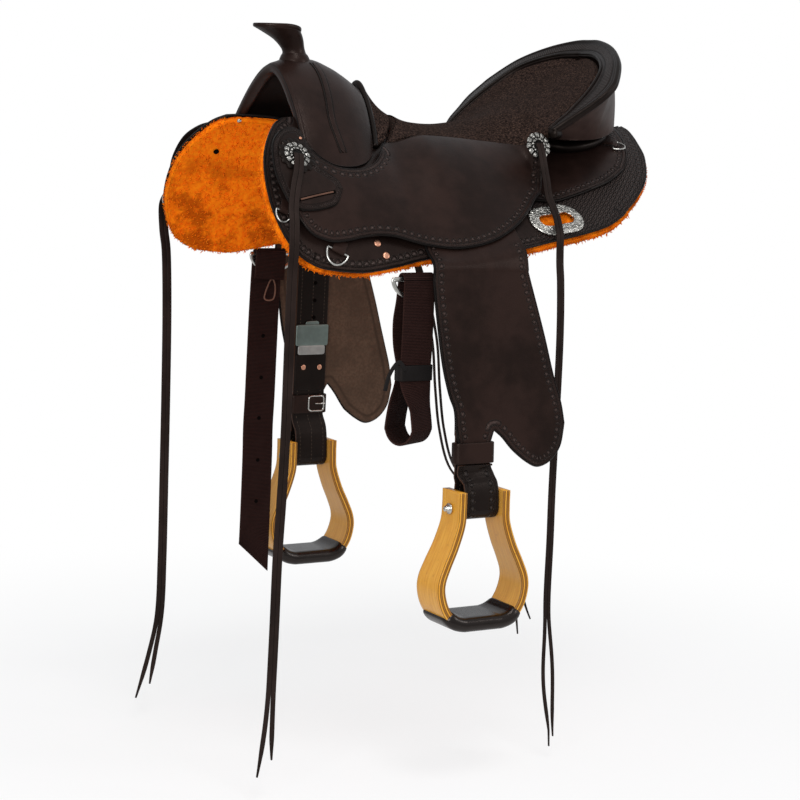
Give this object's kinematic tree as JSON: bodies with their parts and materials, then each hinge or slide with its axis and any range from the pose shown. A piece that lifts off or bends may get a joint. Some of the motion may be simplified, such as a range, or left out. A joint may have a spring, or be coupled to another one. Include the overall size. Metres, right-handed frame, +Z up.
{
  "type": "western saddle",
  "caption": "Treeless western riding saddle with horn, suede seat, fleece-lined skirts, hanging fenders, wooden stirrups, latigo, billet and saddle strings.",
  "frame": {"origin": "on the spine line, level with the inner edges of the panels under the lowest point of the seat", "axes": "+Z up, +X towards the horse's tail with the horn at -X, +Y towards the off (right) side"},
  "size_m": [0.7196, 0.585, 1.0538],
  "materials": {
    "leather": "oiled dark brown saddle leather, smooth and tooled",
    "black_leather": "black tooled or glossy leather",
    "suede": "dark brown suede with golden specks",
    "fleece": "orange wool fleece",
    "foam": "firm foam",
    "board": "stiff moulded board",
    "steel": "polished and engraved steel",
    "webbing": "ribbed dark brown webbing",
    "wood": "varnished bent plywood",
    "rubber": "black rubber"
  },
  "bodies": {
    "saddle": {"seat": "suede", "seat_base": "foam", "seat_lip": "leather", "fork_cover": "leather", "pommel_insert": "board", "gullet_lining": "black_leather", "horn_neck": "leather", "horn_cap": "leather", "cantle_rim": "black_leather", "cantle_back": "leather", "cantle_board": "board", "cantle_base_roll": "black_leather", "near_skirt": "leather", "near_fleece": "fleece", "near_seat_jockey": "leather", "near_rear_jockey": "leather", "near_front_patch": "leather", "near_front_concho": "steel", "near_rear_concho": "steel", "near_slot_plate": "steel", "near_front_strings": "leather", "near_rear_strings": "leather", "off_skirt": "leather", "off_fleece": "fleece", "off_seat_jockey": "leather", "off_rear_jockey": "leather", "off_front_patch": "leather", "off_front_concho": "steel", "off_rear_concho": "steel", "off_slot_plate": "steel", "off_front_strings": "leather", "off_rear_strings": "leather"},
    "near_hanger": {"near_fender_neck": "leather"},
    "near_leg": {"near_fender": "leather", "near_stirrup_leather": "leather", "near_hobble_strap": "leather", "near_buckle_plate": "steel"},
    "near_stirrup_body": {"near_stirrup": "wood", "near_stirrup_tread": "black_leather", "near_stirrup_bolt": "steel"},
    "near_front_dee_body": {"near_front_dee": "steel"},
    "near_lower_dee_body": {"near_lower_dee": "steel"},
    "near_rear_dee_body": {"near_rear_dee": "steel"},
    "off_hanger": {"off_fender_neck": "leather"},
    "off_leg": {"off_fender": "leather", "off_stirrup_leather": "leather", "off_hobble_strap": "leather", "off_buckle_plate": "steel"},
    "off_stirrup_body": {"off_stirrup": "wood", "off_stirrup_tread": "black_leather", "off_stirrup_bolt": "steel"},
    "off_front_dee_body": {"off_front_dee": "steel"},
    "off_lower_dee_body": {"off_lower_dee": "steel"},
    "off_rear_dee_body": {"off_rear_dee": "steel"},
    "near_latigo_body": {"near_cinch_ring": "steel", "near_latigo": "webbing", "near_latigo_band": "rubber"},
    "off_billet_body": {"off_cinch_ring": "steel", "off_billet": "leather"}
  },
  "joints": [
    {"name": "near_fender_swing", "type": "hinge", "parent": "saddle", "child": "near_hanger", "pos_m": [-0.05, -0.2255, -0.118], "axis": [0, 1, 0], "range_deg": [-12, 12], "deforming": ["near_fender_neck"]},
    {"name": "near_fender_lift", "type": "hinge", "parent": "near_hanger", "child": "near_leg", "pos_m": [-0.05, -0.2255, -0.118], "axis": [1, 0, 0], "range_deg": [-60, 0], "deforming": ["near_fender_neck"]},
    {"name": "near_stirrup_turn", "type": "hinge", "parent": "near_leg", "child": "near_stirrup_body", "pos_m": [-0.0525, -0.255, -0.48], "axis": [1, 0, 0], "range_deg": [-60, 60]},
    {"name": "near_front_dee_swing", "type": "hinge", "parent": "saddle", "child": "near_front_dee_body", "pos_m": [-0.3345, -0.18763, -0.06907], "axis": [-0.9301, 0.1271, 0.3446], "range_deg": [0, 90]},
    {"name": "near_lower_dee_swing", "type": "hinge", "parent": "saddle", "child": "near_lower_dee_body", "pos_m": [-0.262, -0.21085, -0.12134], "axis": [-0.8705, 0.2309, 0.4346], "range_deg": [0, 90]},
    {"name": "near_rear_dee_swing", "type": "hinge", "parent": "saddle", "child": "near_rear_dee_body", "pos_m": [0.293, -0.06302, 0.02605], "axis": [-0.7425, -0.5199, -0.4224], "range_deg": [0, 90]},
    {"name": "off_fender_swing", "type": "hinge", "parent": "saddle", "child": "off_hanger", "pos_m": [-0.05, 0.2255, -0.118], "axis": [0, 1, 0], "range_deg": [-12, 12], "deforming": ["off_fender_neck"]},
    {"name": "off_fender_lift", "type": "hinge", "parent": "off_hanger", "child": "off_leg", "pos_m": [-0.05, 0.2255, -0.118], "axis": [1, 0, 0], "range_deg": [0, 60], "deforming": ["off_fender_neck"]},
    {"name": "off_stirrup_turn", "type": "hinge", "parent": "off_leg", "child": "off_stirrup_body", "pos_m": [-0.058, 0.255, -0.488], "axis": [1, 0, 0], "range_deg": [-60, 60]},
    {"name": "off_front_dee_swing", "type": "hinge", "parent": "saddle", "child": "off_front_dee_body", "pos_m": [-0.3345, 0.18763, -0.06907], "axis": [0.9301, 0.1271, -0.3446], "range_deg": [0, 90]},
    {"name": "off_lower_dee_swing", "type": "hinge", "parent": "saddle", "child": "off_lower_dee_body", "pos_m": [-0.262, 0.21085, -0.12134], "axis": [0.8705, 0.2309, -0.4346], "range_deg": [0, 90]},
    {"name": "off_rear_dee_swing", "type": "hinge", "parent": "saddle", "child": "off_rear_dee_body", "pos_m": [0.293, 0.06302, 0.02605], "axis": [0.7425, -0.5199, 0.4224], "range_deg": [0, 90]},
    {"name": "near_latigo_swing", "type": "hinge", "parent": "saddle", "child": "near_latigo_body", "pos_m": [-0.144, -0.2235, -0.16], "axis": [1, 0, 0], "range_deg": [0, 40]},
    {"name": "off_billet_swing", "type": "hinge", "parent": "saddle", "child": "off_billet_body", "pos_m": [-0.144, 0.2235, -0.16], "axis": [1, 0, 0], "range_deg": [-25, 0]}
  ]
}
